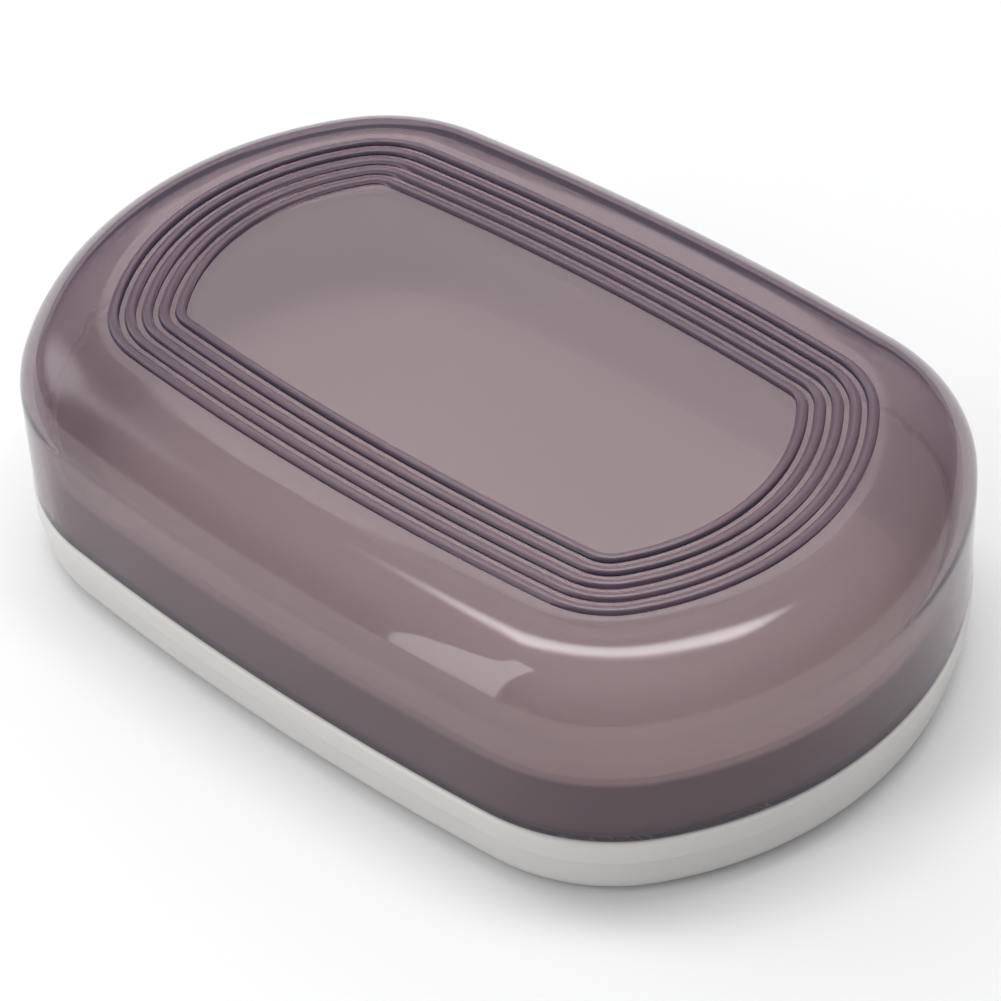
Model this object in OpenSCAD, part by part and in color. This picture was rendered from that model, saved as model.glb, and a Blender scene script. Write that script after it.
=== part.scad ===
// Covered soap dish: a shallow moulded tray and a clear tinted cover that lifts straight off it.
// Every edge of both pieces follows one oval, drawn at different distances from the flat panel
// in the middle of the cover: two long sides that bow slightly outwards, two round ends, and
// four corner arcs that join them smoothly.

/* [Outline] */
// Length over the rim of the tray
rim_l = 130; // [116:1:150]
// Width over the rim of the tray
rim_w = 86; // [78:1:96]
// Radius of the slight outward bow of the long sides, at the rim
side_r = 409; // [300:1:900]
// How much larger the radius of the round ends is than half of the width
end_flat = 8.5; // [4:0.5:14]
// Radius of the four corners of the flat panel
panel_corner_r = 3.1; // [2:0.1:5]

/* [Cover] */
// Height of the cover, from its edge to the flat panel
cover_h = 24.7; // [20:0.1:34]
// Thickness of the wall of the cover
cover_wall = 1.8; // [1.2:0.1:2.6]
// Radius of the rounded shoulder, outside
shoulder_r = 10; // [6:0.5:14]
// Draft of the side wall of the cover, in degrees
cover_draft = 1; // [0.5:0.1:3]
// Flat land between the outermost bead and the shoulder
land_w = 2.5; // [1:0.1:5]
// Small bevel round the lower outside edge of the cover
cover_bevel = 0.3; // [0.2:0.1:0.6]

/* [Beads] */
// Number of raised half-round beads round the panel
bead_n = 5; // [1:1:7]
// Distance from one bead to the next
bead_pitch = 2.17; // [1.8:0.01:2.6]
// Width of a bead at its foot
bead_w = 1.52; // [0.8:0.01:1.7]
// Height of a bead
bead_h = 0.6; // [0.3:0.05:0.75]

/* [Tray] */
// Height of the tray, from the table to the rim that the cover sits on
tray_h = 10.2; // [8:0.1:16]
// How far the rim stands out past the edge of the cover
rim_proud = 0.25; // [0.1:0.05:1]
// Height of the upright band below the rim
band_h = 3.7; // [2:0.1:5]
// Rounding of the lower edge of the band
band_round = 0.4; // [0.2:0.1:0.8]
// Rounding of the upper edge of the band, under the edge of the cover
rim_round = 0.8; // [0.4:0.1:1.2]
// Step from the band in to the lower body
band_step = 0.5; // [0.3:0.1:1.5]
// Draft of the lower body, in degrees
body_draft = 5; // [1:0.5:10]
// Rounding of the bottom edge
base_round = 3; // [1:0.5:3.5]
// Thickness of the floor
floor_t = 2.2; // [1.6:0.1:3]
// Rounding between the floor and the wall inside
floor_round = 5.5; // [3:0.5:7]
// How far that rounding is sunk below the floor, which leaves a fine line round the floor
floor_sink = 0.75; // [0.2:0.05:1.5]
// Depth of the shallow recess under the base
foot_h = 0.6; // [0.3:0.1:0.8]
// Width of the flat foot that runs round that recess
foot_w = 4; // [2:0.5:8]

/* [Lip] */
// Height of the lip that stands up inside the cover
lip_h = 8.2; // [4:0.1:12]
// Thickness of the lip
lip_t = 1.4; // [1:0.1:2]
// Bevel of the upper edges of the lip
lip_bevel = 0.4; // [0.2:0.1:0.45]
// Gap between the lip and the inside of the cover
lip_gap = 0.3; // [0.15:0.05:0.6]

/* [Hidden] */
$fn = 96;

// How far a straight wall starts inside the round that it leaves, so that the two always cross
tuck = 0.002;
// How far one solid reaches into the next where they are joined
lap = 1;
// Radius that every section keeps clear of the axes of the corner arcs, which the middle fills
hub = 0.5;
// How finely the very large arcs of the sides are drawn
side_fn = 2160;

// Distances outwards from the edge of the panel
beads_w = bead_pitch * (bead_n - 1) + bead_w;
flat_w = beads_w + land_w;
wall_drop = cover_h - shoulder_r + shoulder_r * sin(cover_draft);
cover_w = flat_w + shoulder_r * cos(cover_draft) + wall_drop * tan(cover_draft);
rim_x = cover_w + rim_proud;
cover_in_x = cover_w - cover_wall / cos(cover_draft);
lip_x = cover_in_x - lip_gap - lip_h * tan(cover_draft);
lip_z = tray_h + lip_h;

// The oval at the edge of the panel, worked out for the quarter with x and y above zero. The
// two angles are rounded, so that neighbouring arcs start and stop on exactly the same plane.
corner_r = panel_corner_r;
start_x = hub - corner_r;
side_y = side_r - rim_w / 2;
side_arm = side_r - rim_x - corner_r;
end_arm0 = rim_w / 2 + end_flat - rim_x - corner_r;
end_x0 = (rim_l - rim_w) / 2 - end_flat;
centres = norm([end_x0, side_y]);
along = (side_arm * side_arm - end_arm0 * end_arm0 + centres * centres) / (2 * centres);
across = sqrt(side_arm * side_arm - along * along);
meet = [end_x0 * along + side_y * across, side_y * along - end_x0 * across] / centres;
side_a = fine(atan2(meet.y, meet.x));
corner_c = [side_arm * cos(side_a), side_arm * sin(side_a) - side_y];
end_a = fine(atan2(corner_c.y, corner_c.x - end_x0));
end_arm = corner_c.y / sin(end_a);
end_x = corner_c.x - corner_c.y / tan(end_a);

function fine(t) = round(t * 10000) / 10000;
function coarse(t) = round(t * 100) / 100;

// Moves in a coarse and a fine step, so that no digit is lost where arcs of very different
// radius have to meet
module place(v) {
    near = [for (t = v) coarse(t)];
    translate(near) translate(v - near) children();
}

// Turns a section about one arc of the oval. The section's x is the distance outwards from the
// edge of the panel and its y is the height.
module arc(centre, arm, from, to) {
    place(centre)
        rotate_extrude(start = from, angle = to - from)
            place([arm + corner_r, 0])
                children();
}

// Carries a section right round the oval
module round_oval() {
    for (flip = [0, 1])
        mirror([0, flip, 0])
            arc([0, -side_y], side_arm, side_a, 180 - side_a, $fn = side_fn) children();
    for (flip = [0, 1])
        mirror([flip, 0, 0])
            arc([end_x, 0], end_arm, -end_a, end_a) children();
    for (flip_x = [0, 1], flip_y = [0, 1])
        mirror([flip_x, 0, 0]) mirror([0, flip_y, 0])
            arc(corner_c, 0, end_a, side_a) children();
}

// The middle of the oval, inside the axes of the corner arcs
module middle(bottom, top) {
    translate([0, 0, bottom])
        linear_extrude(top - bottom)
            intersection() {
                place([0, -side_y]) circle(side_arm + lap, $fn = side_fn);
                place([0, side_y]) circle(side_arm + lap, $fn = side_fn);
                union() {
                    place([end_x, 0]) circle(end_arm + lap);
                    place([-end_x, 0]) circle(end_arm + lap);
                    square([2 * end_x, 2 * end_arm], center = true);
                }
            }
}

// A rectangle of a section, from one distance and height to another
module bar(x0, z0, x1, z1) {
    translate([x0, z0]) square([x1 - x0, z1 - z0]);
}

// Section of the cover as a solid, shrunk all round by a thickness, down to a height
module cover_form(thickness, foot) {
    r = shoulder_r - thickness;
    centre = [flat_w, cover_h - shoulder_r];
    leave = centre + (r - tuck) * [cos(cover_draft), sin(cover_draft)];
    bar(start_x, foot, flat_w, cover_h - thickness);
    translate(centre) circle(r);
    polygon([
        [start_x, foot],
        [leave.x + (leave.y - foot) * tan(cover_draft), foot],
        leave,
        [start_x, leave.y],
    ]);
}

// Section of the raised beads: round bars sunk into the panel so that their feet are bead_w wide
module beads() {
    r = (bead_w * bead_w / 4 + bead_h * bead_h) / (2 * bead_h);
    for (i = [0 : bead_n - 1])
        translate([i * bead_pitch + bead_w / 2, cover_h + bead_h - r]) circle(r);
}

module cover() {
    color([0.55, 0.49, 0.52, 0.6])
        translate([0, 0, tray_h]) {
            round_oval()
                difference() {
                    union() {
                        cover_form(0, 0);
                        beads();
                    }
                    cover_form(cover_wall, -lap);
                    polygon([
                        [cover_w - cover_bevel, -lap],
                        [cover_w - cover_bevel, 0],
                        [cover_w + lap, cover_bevel + lap],
                        [cover_w + lap, -lap],
                    ]);
                }
            middle(cover_h - cover_wall, cover_h);
        }
}

// Section of the outside of the tray, without its lip
module tray_form() {
    band_z = tray_h - band_h;
    body_x = rim_x - band_step;
    foot_x = body_x - band_z * tan(body_draft);
    turn_x = foot_x - base_round * (1 - sin(body_draft)) / cos(body_draft);
    bar(start_x, band_z, rim_x - band_round, tray_h - rim_round);
    bar(start_x, band_z + band_round, rim_x, tray_h - rim_round);
    bar(start_x, band_z + band_round, rim_x - rim_round, tray_h);
    translate([rim_x - band_round, band_z + band_round]) circle(band_round);
    translate([rim_x - rim_round, tray_h - rim_round]) circle(rim_round);
    polygon([
        [start_x, base_round],
        [turn_x, base_round],
        [turn_x, base_round] + (base_round - tuck) * [cos(body_draft), -sin(body_draft)],
        [body_x, band_z],
        [body_x, band_z + band_round],
        [start_x, band_z + band_round],
    ]);
    translate([turn_x, base_round]) circle(base_round);
    bar(start_x, 0, turn_x, base_round);
}

// Section of the lip, which carries the wall of the hollow up inside the cover
module lip_form() {
    polygon([
        [start_x, tray_h - lap],
        [lip_x, tray_h - lap],
        [lip_x, lip_z - lip_bevel],
        [lip_x - lip_bevel, lip_z],
        [start_x, lip_z],
    ]);
}

// Section of the hollow of the tray, from the floor up past the lip
module tray_hollow() {
    hollow_x = lip_x - lip_t;
    centre = [hollow_x - floor_round, floor_t - floor_sink + floor_round];
    bar(start_x, centre.y, hollow_x, lip_z + lap);
    polygon([
        [start_x, lip_z - lip_bevel],
        [hollow_x, lip_z - lip_bevel],
        [hollow_x + lip_bevel + lap, lip_z + lap],
        [start_x, lip_z + lap],
    ]);
    intersection() {
        bar(start_x, floor_t, hollow_x, centre.y + lap);
        union() {
            bar(start_x, floor_t, centre.x, centre.y + lap);
            translate(centre) circle(floor_round);
        }
    }
}

module tray() {
    foot_in = rim_x - band_step - (tray_h - band_h) * tan(body_draft) - base_round - foot_w;
    color([0.9, 0.9, 0.88]) {
        round_oval()
            difference() {
                union() {
                    tray_form();
                    lip_form();
                }
                tray_hollow();
                bar(start_x - lap, -lap, foot_in, foot_h);
            }
        middle(foot_h, floor_t);
    }
}

tray();
cover();
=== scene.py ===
# %% [markdown]
# # A covered soap dish, dressed in Blender
#
# The dish has two moulded pieces: a shallow white tray, and a clear cover with a smoky mauve
# tint that lifts straight off it. The solid model of both comes from the packed frame, which
# also says where they are and how they move. This lesson gives them finer surfaces, finishes,
# light and a camera. It starts by loading the frame.

# %% Load the frame
import math

import bmesh
import bpy
from mathutils import Matrix, Vector


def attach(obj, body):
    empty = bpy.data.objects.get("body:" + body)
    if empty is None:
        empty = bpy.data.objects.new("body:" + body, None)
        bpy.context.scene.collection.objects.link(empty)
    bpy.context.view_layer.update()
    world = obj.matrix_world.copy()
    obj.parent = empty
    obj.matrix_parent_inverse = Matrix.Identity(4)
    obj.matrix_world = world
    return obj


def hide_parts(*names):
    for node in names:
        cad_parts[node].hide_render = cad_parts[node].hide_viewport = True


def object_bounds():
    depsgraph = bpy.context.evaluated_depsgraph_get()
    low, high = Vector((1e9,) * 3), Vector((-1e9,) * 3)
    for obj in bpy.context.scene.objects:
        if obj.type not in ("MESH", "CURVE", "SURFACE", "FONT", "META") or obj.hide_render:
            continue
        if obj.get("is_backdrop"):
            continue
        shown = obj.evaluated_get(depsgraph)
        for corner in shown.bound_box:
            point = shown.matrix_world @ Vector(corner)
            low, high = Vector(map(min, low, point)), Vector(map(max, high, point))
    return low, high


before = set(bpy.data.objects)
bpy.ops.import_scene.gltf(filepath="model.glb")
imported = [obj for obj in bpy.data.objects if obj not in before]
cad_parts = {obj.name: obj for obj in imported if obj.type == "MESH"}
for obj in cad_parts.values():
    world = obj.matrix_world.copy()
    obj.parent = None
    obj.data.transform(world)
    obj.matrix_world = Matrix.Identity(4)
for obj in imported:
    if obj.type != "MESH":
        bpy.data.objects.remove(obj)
cad_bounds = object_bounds()
print("box of the solid model, mm:", [round(1000 * (b - a), 1) for a, b in zip(*cad_bounds)])

# %% [markdown]
# ## The sizes
#
# Blender works in metres, but a maker thinks of a soap dish in millimetres, so the sizes are
# written in millimetres and turned once, where a mesh is made. They repeat the sizes of the
# solid model, because a piece that stands for a solid has to keep its place and its shape.

# %% Sizes of the outline
MM = 0.001
RIM_LENGTH = 130
RIM_WIDTH = 86
SIDE_RADIUS = 409
END_FLAT = 8.5
CORNER_RADIUS = 3.1
print("rim", RIM_LENGTH, "x", RIM_WIDTH, "mm, long sides bowed to a radius of", SIDE_RADIUS)

# %% Sizes of the cover
BEADS = 5
BEAD_PITCH = 2.17
BEAD_WIDTH = 1.52
BEAD_HEIGHT = 0.6
LAND = 2.5
CLEAR_LAND = 1.6
COVER_HEIGHT = 24.7
COVER_WALL = 1.8
SHOULDER = 10
COVER_DRAFT = math.radians(1)
COVER_BEVEL = 0.3
print("cover", COVER_HEIGHT, "mm high,", BEADS, "beads, one every", BEAD_PITCH, "mm")

# %% Sizes of the tray
TRAY_HEIGHT = 10.2
RIM_PROUD = 0.25
BAND_HEIGHT = 3.7
BAND_ROUND = 0.4
RIM_ROUND = 0.8
BAND_STEP = 0.5
STEP_BEVEL = 0.1
STEP_BEVEL_IN = 0.01
BODY_DRAFT = math.radians(5)
BASE_ROUND = 3
FOOT_WIDTH = 4
FOOT_BEVEL = 0.15
RECESS_DEPTH = 0.6
RECESS_BEVEL = 0.2
FLOOR = 2.2
FLOOR_ROUND = 5.5
FLOOR_SINK = 0.75
LIP_HEIGHT = 8.2
LIP_WALL = 1.4
LIP_ROUND = 0.4
LIP_GAP = 0.3
print("tray", TRAY_HEIGHT, "mm high up to its rim, lip", LIP_HEIGHT, "mm above it")

# %% Distances outwards from the edge of the flat panel
beads_end = BEAD_PITCH * (BEADS - 1) + BEAD_WIDTH
flat_end = beads_end + LAND
wall_drop = COVER_HEIGHT - SHOULDER + SHOULDER * math.sin(COVER_DRAFT)
cover_out = flat_end + SHOULDER * math.cos(COVER_DRAFT) + wall_drop * math.tan(COVER_DRAFT)
rim_out = cover_out + RIM_PROUD
cover_in = cover_out - COVER_WALL / math.cos(COVER_DRAFT)
lip_out = cover_in - LIP_GAP - LIP_HEIGHT * math.tan(COVER_DRAFT)
print("cover reaches out", round(cover_out, 2), "mm from the panel, rim", round(rim_out, 2))

# %% [markdown]
# ## The oval
#
# Every edge of the dish runs along the same oval, at its own distance from the flat panel in
# the middle. A quarter of it is three arcs: a part of the round end, a small corner and a part
# of the long side, which bows out very slightly. Arcs that meet without a kink have their
# centres on one line, which gives the angles at which one takes over from the next.

# %% Work out the oval
side_centre = SIDE_RADIUS - RIM_WIDTH / 2
side_arm = SIDE_RADIUS - rim_out - CORNER_RADIUS
end_centre = (RIM_LENGTH - RIM_WIDTH) / 2 - END_FLAT
end_arm = RIM_WIDTH / 2 + END_FLAT - rim_out - CORNER_RADIUS
span = math.hypot(end_centre, side_centre)
along = (side_arm**2 - end_arm**2 + span**2) / (2 * span)
across = math.sqrt(side_arm**2 - along**2)
corner_x = (end_centre * along + side_centre * across) / span
corner_y = (side_centre * along - end_centre * across) / span - side_centre
side_angle = math.atan2(corner_y + side_centre, corner_x)
end_angle = math.atan2(corner_y, corner_x - end_centre)
print("corner centre", round(corner_x, 2), round(corner_y, 2), "mm; arcs change at",
      round(math.degrees(end_angle), 1), "and", round(math.degrees(side_angle), 1), "degrees")

# %% [markdown]
# ## Writing nodes as sums
#
# A node tree is easier to read as arithmetic than as a web of links. `Socket` wraps one output
# of a node and lets Python's own signs add the Math nodes. `Nodes` wraps a tree, and its one
# method `add` makes any other node from its type, its settings and what goes into its sockets,
# by place or by name. Helpers for what comes up often are built on those two.

# %% A socket that can be added, multiplied and compared
class Socket:
    """One output of a node, on which Python's signs add Math nodes."""

    def __init__(self, nodes, link):
        self.nodes = nodes
        self.link = link

    def math(self, operation, *values):
        return self.nodes.add("ShaderNodeMath", dict(operation=operation), *values)

    def __add__(self, other):
        return self.math("ADD", self, other)

    def __radd__(self, other):
        return self.math("ADD", other, self)

    def __sub__(self, other):
        return self.math("SUBTRACT", self, other)

    def __rsub__(self, other):
        return self.math("SUBTRACT", other, self)

    def __mul__(self, other):
        return self.math("MULTIPLY", self, other)

    def __rmul__(self, other):
        return self.math("MULTIPLY", other, self)

    def __truediv__(self, other):
        return self.math("DIVIDE", self, other)

    def __rtruediv__(self, other):
        return self.math("DIVIDE", other, self)

    def __gt__(self, other):
        return self.math("GREATER_THAN", self, other)

    def __lt__(self, other):
        return self.math("LESS_THAN", self, other)

    def floor(self):
        return self.math("FLOOR", self)

    def sin(self):
        return self.math("SINE", self)

    def cos(self):
        return self.math("COSINE", self)

    def limit(self, low, high):
        return self.math("MINIMUM", self.math("MAXIMUM", self, low), high)


print("signs ready:", [name for name in vars(Socket) if not name.startswith("__")])

# %% A tree that can be filled
class Nodes:
    """A node tree that is being filled."""

    def __init__(self, tree):
        self.tree = tree

    def add(self, kind, settings=None, *values, out=0, **named):
        """Adds a node, sets its settings, fills its sockets and returns one output or several."""
        node = self.tree.nodes.new(kind)
        for name, value in (settings or {}).items():
            if name == "stops":
                self.set_stops(node.color_ramp.elements, value)
            else:
                setattr(node, name, value)
        for place, value in enumerate(values):
            self.fill(node.inputs[place], value)
        for name, value in named.items():
            self.fill(node.inputs[name.replace("_", " ")], value)
        if isinstance(out, tuple):
            return [Socket(self, node.outputs[place]) for place in out]
        return Socket(self, node.outputs[out]) if node.outputs else node

    def set_stops(self, stops, wanted):
        """Gives a colour ramp its stops, each a place and a colour."""
        while len(stops) < len(wanted):
            stops.new(1)
        for stop, (place, colour) in zip(stops, wanted):
            stop.position = place
            stop.color = colour

    def fill(self, socket, value):
        """Links a socket, or sets it to a plain value. A list links several to one socket."""
        for part in value if isinstance(value, list) else [value]:
            if isinstance(part, Socket):
                self.tree.links.new(part.link, socket)
            elif part is not None:
                socket.default_value = part

    def outputs(self, kind):
        """A node that needs no inputs, as a table of its outputs by name."""
        node = self.add(kind).link.node
        return {socket.name: Socket(self, socket) for socket in node.outputs if socket.name}

    def shade(self, share, first, second):
        """A colour between two, by a share. The sockets between them are for other kinds."""
        others = [None] * 5
        return self.add("ShaderNodeMix", dict(data_type="RGBA"), share, *others, first, second, out=2)

    def ramp(self, value, low, high, *ends, curve="SMOOTHSTEP"):
        """A value that rises softly from 0 to 1, or from one end to the other."""
        return self.add("ShaderNodeMapRange", dict(interpolation_type=curve), value, low, high, *ends)


print("tree helpers ready:", [name for name in vars(Nodes) if not name.startswith("__")])

# %% [markdown]
# ## One tree that shapes both pieces
#
# A moulded oval piece is one section carried round the oval. It could be swept along a curve,
# but a sweep guesses the direction at each point from its neighbours. Here the direction is
# known exactly, so the tree lays out a grid instead: one way it counts the steps round a
# quarter of the oval, the other way it counts the points of the section. Each point then goes
# to its arc's centre plus its direction times the arc's radius and its own distance. The
# quarter is mirrored twice and merged.

# %% The tree's inputs
def oval_inputs(tree):
    """Names the sizes that the tree can be given."""
    face = tree.interface
    face.new_socket("Geometry", in_out="OUTPUT", socket_type="NodeSocketGeometry")
    face.new_socket("Section", in_out="INPUT", socket_type="NodeSocketGeometry")
    kinds = {}
    for name in ("Side Centre", "Side Radius", "End Centre", "End Radius", "Corner X", "Corner Y",
                 "Corner Radius", "End Angle", "Side Angle", "Bead Pitch", "Bead Width",
                 "Bead Height", "Panel Height"):
        kinds[name] = "NodeSocketFloat"
    for name in ("End Steps", "Corner Steps", "Side Steps", "Beads", "Bead Steps", "Rows Before"):
        kinds[name] = "NodeSocketInt"
    kinds["Material"] = "NodeSocketMaterial"
    made = {}
    for name, kind in kinds.items():
        made[name] = face.new_socket(name, in_out="INPUT", socket_type=kind).identifier
    return made


print("input helper ready")

# %% The grid
def lay_grid(nodes, size):
    """The grid, and which step round the oval and which row of the section a point stands for."""
    given_rows = nodes.add("GeometryNodeAttributeDomainSize", dict(component="MESH"),
                           size["Section"], out="Point Count")
    rows = given_rows + size["Beads"] * (size["Bead Steps"] + 1)
    steps = size["End Steps"] + size["Corner Steps"] + size["Side Steps"]
    grid = nodes.add("GeometryNodeMeshGrid", None, 1.0, 1.0, steps + 1, rows)
    index = nodes.add("GeometryNodeInputIndex")
    step = ((index + 0.5) / rows).floor()
    return grid, step, index - step * rows


print("grid helper ready")

# %% [markdown]
# ## The beads inside the section
#
# The raised beads of the cover repeat at an even pitch, each a slice of a round bar. Their
# points come from a rule and not from the list of the section, so their number, pitch, width
# and height are inputs of the tree. The radius of the bar follows from the width and height.

# %% A point of a bead
def bead_point(size, bead_row):
    """The distance outwards and the height of a point of the beads."""
    half = size["Bead Width"] / 2
    tall = size["Bead Height"]
    radius = (half * half + tall * tall) / (2 * tall)
    reach = half.math("ARCTAN2", half, radius - tall)
    rows = size["Bead Steps"] + 1
    bead = ((bead_row + 0.5) / rows).floor()
    turn = reach * (2 * (bead_row - bead * rows) / size["Bead Steps"] - 1)
    out = bead * size["Bead Pitch"] + half + radius * turn.sin()
    up = size["Panel Height"] + tall - radius + radius * turn.cos()
    return out, up


print("bead helper ready")

# %% A point of the section, bead or not
def section_point(nodes, size, row):
    """The distance outwards of a row, its share of the middle line, and its height."""
    bead_rows = size["Beads"] * (size["Bead Steps"] + 1)
    bead_row = row - size["Rows Before"]
    in_beads = (bead_row > -0.5) * (bead_row < bead_rows - 0.5)
    given_row = row - bead_row.limit(0, bead_rows)
    pick = nodes.add("FunctionNodeFloatToInt", dict(rounding_mode="ROUND"), given_row)
    sample = nodes.add("GeometryNodeSampleIndex", dict(data_type="FLOAT_VECTOR", domain="POINT"),
                       Geometry=size["Section"], Value=nodes.add("GeometryNodeInputPosition"),
                       Index=pick)
    out, middle, up = nodes.add("ShaderNodeSeparateXYZ", None, sample, out=(0, 1, 2))
    bead_out, bead_up = bead_point(size, bead_row)
    out = out + in_beads * (bead_out - out)
    up = up + in_beads * (bead_up - up)
    return out, middle * (1 - in_beads), up


print("section helper ready")

# %% [markdown]
# ## Round the oval
#
# A step is on the end, the corner or the side. Its direction turns evenly along each arc, and
# its place is the centre of that arc plus the direction times the radius. Points of the middle
# line are drawn in to the long axis of the dish, and a tenth of the way along it, which closes
# the panel and the floor.

# %% A point on the oval
MIDDLE_DRAWN_IN = 0.1


def oval_point(nodes, size, step, out, middle, up):
    """The place of a point of the section, at a step round the quarter of the oval."""
    end, corner, side = size["End Steps"], size["Corner Steps"], size["Side Steps"]
    past_corner = step - end - corner
    end_part = step.limit(0, end) / end
    corner_part = (step - end).limit(0, corner) / corner
    side_part = past_corner.limit(0, side) / side
    angle = (end_part * size["End Angle"] + corner_part * (size["Side Angle"] - size["End Angle"])
             + side_part * (math.pi / 2 - size["Side Angle"]))
    on_end = step < end + 0.5
    on_side = past_corner > 0.5
    on_corner = 1 - on_end - on_side
    centre_x = on_end * size["End Centre"] + on_corner * size["Corner X"]
    centre_y = on_corner * size["Corner Y"] - on_side * size["Side Centre"]
    arm = (on_end * size["End Radius"] + on_corner * size["Corner Radius"]
           + on_side * size["Side Radius"] + out)
    x = (centre_x + arm * angle.cos()) * (1 - MIDDLE_DRAWN_IN * middle)
    y = (centre_y + arm * angle.sin()) * (1 - middle)
    return nodes.add("ShaderNodeCombineXYZ", None, x, y, up)


print("oval helper ready")

# %% [markdown]
# ## From a quarter to the whole
#
# The quarter is mirrored twice. A mirrored copy is inside out, so its faces are flipped before
# the seams are merged. Faces are smooth, and only edges where the surface really turns stay
# sharp. The export drops instances, so the tree ends in Realize Instances and Set Material.

# %% Mirror, merge and smooth
MERGE_WITHIN = 0.001 * MM
SHARP_FROM = math.radians(35)


def close_up(nodes, quarter, material):
    """The whole piece from its quarter."""
    whole = quarter
    for mirror in ((-1, 1, 1), (1, -1, 1)):
        copy = nodes.add("GeometryNodeTransform", None, whole, Scale=mirror)
        copy = nodes.add("GeometryNodeFlipFaces", None, copy)
        whole = nodes.add("GeometryNodeJoinGeometry", None, [whole, copy])
    whole = nodes.add("GeometryNodeMergeByDistance", None, whole, Distance=MERGE_WITHIN)
    smooth = nodes.add("GeometryNodeSetShadeSmooth", dict(domain="FACE"), whole)
    turn = nodes.add("GeometryNodeInputMeshEdgeAngle")
    sharp = nodes.add("FunctionNodeCompare", dict(operation="GREATER_THAN"), turn, SHARP_FROM)
    smooth = nodes.add("GeometryNodeSetShadeSmooth", dict(domain="EDGE"), smooth, sharp, False)
    real = nodes.add("GeometryNodeRealizeInstances", None, smooth)
    return nodes.add("GeometryNodeSetMaterial", None, real, Material=material)


# %% The tree itself
def oval_tree():
    """The tree that carries a section round the oval, and the identifiers of its inputs."""
    tree = bpy.data.node_groups.new("section_round_the_oval", "GeometryNodeTree")
    ids = oval_inputs(tree)
    nodes = Nodes(tree)
    size = nodes.outputs("NodeGroupInput")
    grid, step, row = lay_grid(nodes, size)
    out, middle, up = section_point(nodes, size, row)
    spot = oval_point(nodes, size, step, out, middle, up)
    quarter = nodes.add("GeometryNodeSetPosition", None, grid, Position=spot)
    nodes.add("NodeGroupOutput", None, close_up(nodes, quarter, size["Material"]))
    return tree, ids


shape_tree, shape_ids = oval_tree()
print("tree with", len(shape_tree.nodes), "nodes and", len(shape_ids), "inputs")

# %% [markdown]
# ## Sections
#
# A section is a list of points, each with its distance outwards from the panel and its height.
# Rounded edges are short arcs, written with a helper. Before the tree gets a section, its first
# and last points are given once more, as points of the middle line.

# %% Helpers for sections
# Every section starts a little outside the axes of the corner arcs
SECTION_START = 0.5 - CORNER_RADIUS


def bend(centre, radius, start, stop, steps):
    """Points on an arc, from one angle to another in degrees, 0 outwards and 90 up."""
    turns = [math.radians(start + (stop - start) * i / steps) for i in range(steps + 1)]
    return [(centre[0] + radius * math.cos(t), centre[1] + radius * math.sin(t)) for t in turns]


def section_line(name, section):
    """A mesh of one line of points, each with its distance, its share of the middle, its height."""
    points = [(out, 0, up) for out, up in section]
    points = [(section[0][0], 1, section[0][1]), *points, (section[-1][0], 1, section[-1][1])]
    line = bpy.data.meshes.new(name)
    line.from_pydata([Vector((out * MM, middle, up * MM)) for out, middle, up in points],
                     [(i, i + 1) for i in range(len(points) - 1)], [])
    return line


def add_object(name, data):
    """Puts a mesh, a lamp or a camera into the scene."""
    made = bpy.data.objects.new(name, data)
    bpy.context.scene.collection.objects.link(made)
    return made


print("sections start", round(SECTION_START, 2), "mm from the edge of the panel")

# %% [markdown]
# ## A plain mesh from the tree
#
# The modifier's inputs are set by the identifiers of their sockets, before the object is first
# evaluated. The evaluated result is then copied into a plain mesh, and the object that carried
# the modifier is removed. The mesh's number of open edges is printed, and if its volume is
# negative, which says that its faces point inwards, they are turned.

# %% Carry a section round the oval
OVAL_SIZES = {
    "Side Centre": side_centre * MM, "Side Radius": (side_arm + CORNER_RADIUS) * MM,
    "End Centre": end_centre * MM, "End Radius": (end_arm + CORNER_RADIUS) * MM,
    "Corner X": corner_x * MM, "Corner Y": corner_y * MM, "Corner Radius": CORNER_RADIUS * MM,
    "End Angle": end_angle, "Side Angle": side_angle,
    "End Steps": 30, "Corner Steps": 20, "Side Steps": 10,
    "Bead Pitch": BEAD_PITCH * MM, "Bead Width": BEAD_WIDTH * MM,
    "Bead Height": BEAD_HEIGHT * MM, "Bead Steps": 16,
}


def carry(name, section, finish, panel=0, beads=0, rows_before=0):
    """Carries a section round the oval with the tree, and returns a plain mesh object."""
    holder = add_object(name + "_section", section_line(name + "_section", section))
    modifier = holder.modifiers.new("oval", "NODES")
    modifier.node_group = shape_tree
    sizes = {**OVAL_SIZES, "Panel Height": panel * MM, "Beads": beads, "Rows Before": rows_before,
             "Material": finish}
    for label, value in sizes.items():
        modifier[shape_ids[label]] = value
    holder.update_tag()
    view = bpy.context.evaluated_depsgraph_get()
    mesh = bpy.data.meshes.new_from_object(holder.evaluated_get(view), depsgraph=view)
    mesh.name = name
    bpy.data.objects.remove(holder)
    face_outwards(mesh)
    return add_object(name, mesh)


def face_outwards(mesh):
    """Turns a mesh that is inside out, and prints what closed volume it has."""
    work = bmesh.new()
    work.from_mesh(mesh)
    if work.calc_volume(signed=True) < 0:
        bmesh.ops.reverse_faces(work, faces=work.faces)
        work.to_mesh(mesh)
    open_edges = sum(not edge.is_manifold for edge in work.edges)
    print(mesh.name, len(mesh.polygons), "faces,", open_edges, "open edges,",
          round(work.calc_volume() / MM**3), "mm3")
    work.free()


print("oval sizes ready:", len(OVAL_SIZES))
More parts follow.
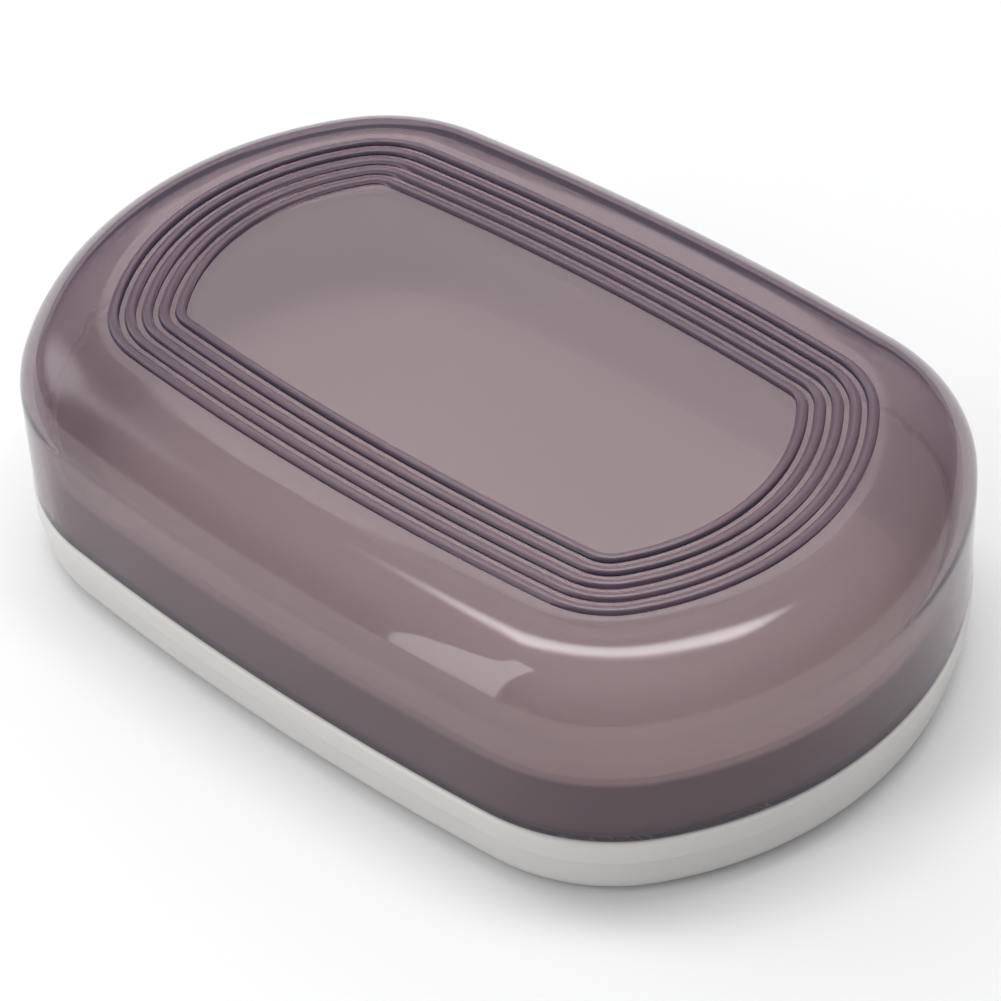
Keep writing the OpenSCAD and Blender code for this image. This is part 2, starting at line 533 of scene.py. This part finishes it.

# %% [markdown]
# ## The tinted plastic
#
# The cover is clear plastic with a smoky mauve dye. One colour on the surface would tint every
# part alike, so most of the dye is in the volume, which darkens long ways through the plastic,
# along an edge or through a bead. The surface carries the rest of the dye, and painted shade: it
# is darker low on the wall, where the lip behind the wall lies in shade, and darker on the beads
# than their extra thickness makes them; the beads also have a softer skin. A little purple haze
# stands for the light that such plastic scatters. The dye drifts a little and the skin has very
# shallow waves, from slow noise on Object coordinates.
#
# A renderer that follows light from the camera hardly ever finds a lamp through bent walls, and
# leaves the inside black. So shadow rays pass the upper part of the cover with a plain tint.

# %% Colours of the tinted plastic
DYE_LIGHT = (0.84, 0.78, 0.77, 1)
DYE_DARK = (0.81, 0.75, 0.74, 1)
LOW_WALL_PAINTED_SHADE = (0.74, 0.62, 0.62, 1)
BEAD_PAINTED_SHADE = (0.62, 0.54, 0.56, 1)
DYE_INSIDE = (0.46, 0.38, 0.405, 1)
DYE_DENSITY = 480.0
HAZE = (0.80, 0.58, 0.95, 1)
LET_THROUGH = (0.655, 0.648, 0.648, 1)

# Heights in mm between which the painted shade low on the wall ends, the light gets in,
# and the beads begin
cover_top = TRAY_HEIGHT + COVER_HEIGHT
LOW_SHADE_ENDS = (16.5, 30)
LIGHT_ENTERS = (20, 26)
BEADS_BEGIN = (cover_top + 0.02, cover_top + 0.2)
print("beads start", round(BEADS_BEGIN[0], 2), "mm above the table")

# %% Helper for finishes
def new_finish(name):
    """A material without nodes, and its tree to fill."""
    finish = bpy.data.materials.new(name)
    finish.use_nodes = True
    finish.node_tree.nodes.clear()
    return finish, Nodes(finish.node_tree)


print("finish helper ready")

# %% Finish of the cover
def tinted_plastic():
    """Clear plastic with a smoky mauve tint, whose surface colour also carries painted shade."""
    finish, nodes = new_finish("tinted_plastic")
    where = nodes.add("ShaderNodeTexCoord", out="Object")
    height = nodes.add("ShaderNodeSeparateXYZ", None, where, out=2)
    above_low_shade, lit, beads = (nodes.ramp(height, low * MM, high * MM)
                             for low, high in (LOW_SHADE_ENDS, LIGHT_ENTERS, BEADS_BEGIN))
    drift = nodes.add("ShaderNodeTexNoise", None, Vector=where, Scale=30.0, Detail=2.0)
    tint_and_shade = nodes.shade(drift, DYE_LIGHT, DYE_DARK)
    # Painted shade: the surface is darker low on the wall, where the lip behind it lies in shade
    tint_and_shade = nodes.shade(above_low_shade, LOW_WALL_PAINTED_SHADE, tint_and_shade)
    # Painted shade: the beads are darker on the surface than their thickness alone makes them
    tint_and_shade = nodes.shade(beads, tint_and_shade, BEAD_PAINTED_SHADE)
    waves = nodes.add("ShaderNodeTexNoise", None, Vector=where, Scale=90.0, Detail=1.0)
    skin = nodes.add("ShaderNodeBump", None, Strength=0.04, Distance=0.5 * MM, Height=waves)
    clear = nodes.add("ShaderNodeBsdfPrincipled", None, Base_Color=tint_and_shade, Normal=skin, IOR=1.49,
                      Roughness=0.02 + beads * 0.26, Transmission_Weight=1.0)
    haze = nodes.add("ShaderNodeBsdfDiffuse", None, HAZE)
    body = nodes.add("ShaderNodeMixShader", None, 0.03 + beads * 0.02, clear, haze)
    passing = nodes.add("ShaderNodeBsdfTransparent", None, LET_THROUGH)
    shadow = nodes.outputs("ShaderNodeLightPath")["Is Shadow Ray"]
    mixed = nodes.add("ShaderNodeMixShader", None, shadow * lit, body, passing)
    inside = nodes.add("ShaderNodeVolumeAbsorption", None, DYE_INSIDE, DYE_DENSITY)
    nodes.add("ShaderNodeOutputMaterial", None, mixed, inside)
    return finish


cover_finish = tinted_plastic()
print("finish:", cover_finish.name)

# %% [markdown]
# ## The white plastic
#
# The tray is moulded in opaque, slightly warm white plastic with a soft sheen. It has the faint
# orange-peel skin that such plastic keeps from its mould, made by fine noise in a bump, and its
# sheen varies a little, as on any piece that has been handled.

# %% Finish of the tray
WHITE_LOW = (0.85, 0.82, 0.78, 1)
WHITE_HIGH = (0.875, 0.845, 0.805, 1)


def white_plastic():
    """Opaque off-white moulded plastic."""
    finish, nodes = new_finish("white_plastic")
    where = nodes.add("ShaderNodeTexCoord", out="Object")
    cloud = nodes.add("ShaderNodeTexNoise", None, Vector=where, Scale=25.0, Detail=3.0)
    tone = nodes.add("ShaderNodeValToRGB", dict(stops=[(0.3, WHITE_LOW), (0.7, WHITE_HIGH)]), cloud)
    fine = nodes.add("ShaderNodeTexNoise", None, Vector=where, Scale=1500.0, Detail=2.0)
    skin = nodes.add("ShaderNodeBump", None, Strength=0.03, Distance=0.1 * MM, Height=fine)
    body = nodes.add("ShaderNodeBsdfPrincipled", None, Base_Color=tone, Normal=skin, IOR=1.5,
                     Roughness=0.28 + 0.08 * cloud)
    nodes.add("ShaderNodeOutputMaterial", None, body)
    return finish


tray_finish = white_plastic()
print("finish:", tray_finish.name)

# %% [markdown]
# ## The cover
#
# The real cover is one shell, 1.8 mm thick: a flat panel, five half-round beads round it, a
# narrow land, a rounded shoulder and a nearly upright wall. It has to be one closed skin with
# an inside and an outside, because light bends as it goes in and again as it comes out. The
# land ends in a fine edge, from which the surface falls by about 2 degrees to the shoulder.

# %% Shape of the cover
shoulder_at = (flat_end, cover_top - SHOULDER)
draft = math.degrees(COVER_DRAFT)
bevel_top = cover_out - COVER_BEVEL * math.tan(COVER_DRAFT)
land_edge = beads_end + CLEAR_LAND
# Pairs of a distance past that edge and a fall below the land, and the angle in degrees at
# which the round of the shoulder takes over
LAND_FALLS = [(-0.05, 0), (0.05, 0.0035), (0.8, 0.0297), (1.6, 0.0657)]
SHOULDER_FROM = 82

cover_section = [(SECTION_START, cover_top)]
beads_after = 1 + len(cover_section)
cover_section += [(land_edge + out, cover_top - fall) for out, fall in LAND_FALLS]
cover_section += bend(shoulder_at, SHOULDER, SHOULDER_FROM, draft, steps=36)
cover_section += [(bevel_top, TRAY_HEIGHT + COVER_BEVEL), (cover_out - COVER_BEVEL, TRAY_HEIGHT)]
cover_section += [(cover_in, TRAY_HEIGHT)]
cover_section += bend(shoulder_at, SHOULDER - COVER_WALL, draft, 90, steps=36)
cover_section += [(SECTION_START, cover_top - COVER_WALL)]
clear_cover = carry("clear_cover", cover_section, cover_finish, panel=cover_top, beads=BEADS,
                    rows_before=beads_after)
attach(clear_cover, "cover")
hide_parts("cover")

# %% [markdown]
# ## The tray
#
# Below the seam the tray shows an upright band with softly rounded edges, then a small step in
# to its lower body, which stands on a flat foot round a shallow recess. Inside the cover a tall,
# thin lip carries the wall of the well up, and shows through the tint as a dark band, made darker
# by painted shade low on the cover's wall. The rounding at the foot of that wall is sunk a
# little, which leaves a fine line round the floor.

# %% Heights and distances of the tray
band_foot = TRAY_HEIGHT - BAND_HEIGHT
body_out = rim_out - BAND_STEP
foot_out = body_out - band_foot * math.tan(BODY_DRAFT)
turn_out = foot_out - BASE_ROUND * (1 - math.sin(BODY_DRAFT)) / math.cos(BODY_DRAFT)
foot_in = foot_out - BASE_ROUND - FOOT_WIDTH
well_out = lip_out - LIP_WALL
lip_top = TRAY_HEIGHT + LIP_HEIGHT
well_turn = FLOOR - FLOOR_SINK + FLOOR_ROUND
floor_meets = math.degrees(math.asin((FLOOR_ROUND - FLOOR_SINK) / FLOOR_ROUND))
print("lip top", round(lip_top, 1), "mm above the table, well", round(well_out, 2), "mm out")

# %% Shape of the tray
tray_section = [(SECTION_START, RECESS_DEPTH), (foot_in - RECESS_BEVEL, RECESS_DEPTH)]
tray_section += [(foot_in, RECESS_DEPTH - RECESS_BEVEL), (foot_in, FOOT_BEVEL)]
tray_section += [(foot_in + FOOT_BEVEL, 0)]
tray_section += bend((turn_out, BASE_ROUND), BASE_ROUND, -90, -math.degrees(BODY_DRAFT), steps=14)
tray_section += [(body_out - STEP_BEVEL_IN, band_foot - STEP_BEVEL)]
tray_section += [(body_out + STEP_BEVEL, band_foot)]
tray_section += bend((rim_out - BAND_ROUND, band_foot + BAND_ROUND), BAND_ROUND, -90, 0, steps=8)
tray_section += bend((rim_out - RIM_ROUND, TRAY_HEIGHT - RIM_ROUND), RIM_ROUND, 0, 90, steps=10)
tray_section += [(lip_out, TRAY_HEIGHT)]
tray_section += bend((lip_out - LIP_ROUND, lip_top - LIP_ROUND), LIP_ROUND, 0, 90, steps=6)
tray_section += bend((well_out + LIP_ROUND, lip_top - LIP_ROUND), LIP_ROUND, 90, 180, steps=6)
tray_section += bend((well_out - FLOOR_ROUND, well_turn), FLOOR_ROUND, 0, -floor_meets, steps=20)
tray_section += [(SECTION_START, FLOOR)]
white_tray = carry("white_tray", tray_section, tray_finish)
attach(white_tray, "tray")
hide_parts("tray")

# %% [markdown]
# ## The floor
#
# The dish stands on plain white card that keeps its soft shadow. A white card throws much light
# up on the sides of a pale dish, more than a photographer wants. So the card shows its white to
# the camera, in mirrored and in bent rays, and is greyer for the light that it passes on.

# %% Floor
FLOOR_REACH = 4
CARD_SEEN = (0.9, 0.9, 0.9, 1)
CARD_PASSED_ON = (0.6, 0.6, 0.6, 1)

card, card_nodes = new_finish("white_card")
rays = card_nodes.outputs("ShaderNodeLightPath")
seen = (rays["Is Camera Ray"] + rays["Is Glossy Ray"] + rays["Is Transmission Ray"]).limit(0, 1)
direct = rays["Diffuse Depth"] < 0.5
colour = card_nodes.shade(seen * direct, CARD_PASSED_ON, CARD_SEEN)
card_nodes.add("ShaderNodeOutputMaterial", None, card_nodes.add(
    "ShaderNodeBsdfPrincipled", None, Base_Color=colour, Roughness=0.9, Specular_IOR_Level=0.1))
ground = bpy.data.meshes.new("floor")
corners = [(-1, -1), (1, -1), (1, 1), (-1, 1)]
ground.from_pydata([(x * FLOOR_REACH, y * FLOOR_REACH, 0) for x, y in corners], [], [(0, 1, 2, 3)])
ground.materials.append(card)
floor = add_object("floor", ground)
floor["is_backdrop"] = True
print("floor", [round(v, 1) for v in floor.dimensions])

# %% [markdown]
# ## The lamps
#
# A clear shell shows its lamps as highlights, so their places decide how its roundness reads: a
# large lamp above lights the inside and draws the bright crescent on the shoulder, one on the
# left fills the long side, a narrow upright one in front leaves a patch near the viewer, and a
# small one behind is mirrored in the flat window. Real softboxes fade towards their edges, and
# so do these, by a few nodes in the lamp.

# %% A lamp with soft edges
AIMED_AT = Vector((0, 0, 0.02))


def soft_lamp(name, azimuth, elevation, distance, size, level, soft, long_way=None, shade=(1, 1, 1)):
    """A rectangular lamp that faces the dish. Azimuth 0 is along +Y and 90 along +X."""
    data = bpy.data.lights.new(name, "AREA")
    data.shape = "RECTANGLE"
    data.size, data.size_y = size
    data.energy = level * math.pi * data.size * data.size_y
    data.color = shade
    turn, rise = math.radians(azimuth), math.radians(elevation)
    away = Vector((math.sin(turn) * math.cos(rise), math.cos(turn) * math.cos(rise), math.sin(rise)))
    turn = math.radians(azimuth + 90 if long_way is None else long_way)
    wide = Vector((math.sin(turn), math.cos(turn), 0))
    wide = (wide - away * wide.dot(away)).normalized()
    lamp = add_object(name, data)
    lamp.location = AIMED_AT + away * distance
    lamp.rotation_euler = Matrix((wide, away.cross(wide), away)).transposed().to_euler()
    data.use_nodes = True
    nodes = Nodes(data.node_tree)
    spot = nodes.add("ShaderNodeNewGeometry", out="Parametric")
    fade = 1
    for side, edge in zip(nodes.add("ShaderNodeSeparateXYZ", None, spot, out=(0, 1)), soft):
        for reach in (side, 1 - side):
            fade = fade * nodes.ramp(reach, 0.0, edge, curve="SMOOTHERSTEP")
    nodes.fill(data.node_tree.nodes["Emission"].inputs["Strength"], fade)


print("lamp helper ready")

# %% Lamps
LAMPS = {
    "lamp_above": dict(azimuth=-39, elevation=81, distance=1.25, size=(1.3, 0.52), level=8.4,
                       soft=(0.15, 0.45), long_way=57),
    "lamp_left": dict(azimuth=-104, elevation=28, distance=1.2, size=(1.1, 1.05), level=2.0,
                      soft=(0.45, 0.35), shade=(0.94, 0.97, 1.0)),
    "lamp_back": dict(azimuth=-43.5, elevation=40.5, distance=1.3, size=(0.5, 0.36), level=1.3,
                      soft=(0.08, 0.08)),
    "lamp_front": dict(azimuth=-160.5, elevation=27, distance=1.1, size=(0.23, 1.15), level=3.0,
                       soft=(0.05, 0.05)),
}
for lamp_name, settings in LAMPS.items():
    soft_lamp(lamp_name, **settings)

# %% [markdown]
# ## The room
#
# The rest of the room is a soft glow, brighter and warmer towards the ceiling, and bluish and
# dim near the floor. It fills the shadows, and gives the cover something calm to mirror.

# %% Room
ROOM_GLOW = (0.2, 0.75)
ROOM_LOW = (0.80, 0.86, 1.0, 1)
ROOM_HIGH = (1.0, 0.98, 0.96, 1)

world = bpy.data.worlds.new("pale_room")
bpy.context.scene.world = world
world.use_nodes = True
room = Nodes(world.node_tree)
aim = room.add("ShaderNodeTexCoord", out="Generated")
rise = room.add("ShaderNodeSeparateXYZ", None, aim, out=2)
glow = world.node_tree.nodes["Background"]
room.fill(glow.inputs["Strength"], room.ramp(rise, 0.2, 1.0, *ROOM_GLOW))
room.fill(glow.inputs["Color"], room.shade(rise, ROOM_LOW, ROOM_HIGH))
print("room glow from", ROOM_GLOW[0], "near the floor to", ROOM_GLOW[1], "above")

# %% [markdown]
# ## The camera
#
# The photograph was taken from above a corner, with a long lens. The camera's place and turn
# were found by fitting the edges of the model to it. Three directions make the turn: where the
# camera looks, what is up in the picture, and what is right in it.

# %% Camera
eye = bpy.data.cameras.new("eye")
eye.lens = 112.565
eye.sensor_width = 36
eye.clip_start = 0.01
eye.clip_end = 20
camera = add_object("camera", eye)
place = Vector((0.208945, -0.218776, 0.286652))
ahead = Vector((-0.507942, 0.535821, -0.674456))
above = Vector((-0.428291, 0.522244, 0.737447))
right = ahead.cross(above)
turn = Matrix((right, above, -ahead)).transposed()
camera.matrix_world = Matrix.Translation(place) @ turn.to_4x4()
bpy.context.scene.camera = camera
bpy.context.scene.view_settings.view_transform = "Standard"
print("camera", [round(v, 3) for v in camera.location], "lens", eye.lens)

# %% [markdown]
# ## The sizes at the end
#
# The boxes of the solid model and of the dressed dish are gathered, and the size of the dressed
# dish is printed.

# %% The size of the dressed dish
boxes = [[list(corner) for corner in box] for box in (cad_bounds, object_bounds())]
print("size of the dressed dish, mm:", [round(1000 * (b - a), 1) for a, b in zip(*boxes[1])])
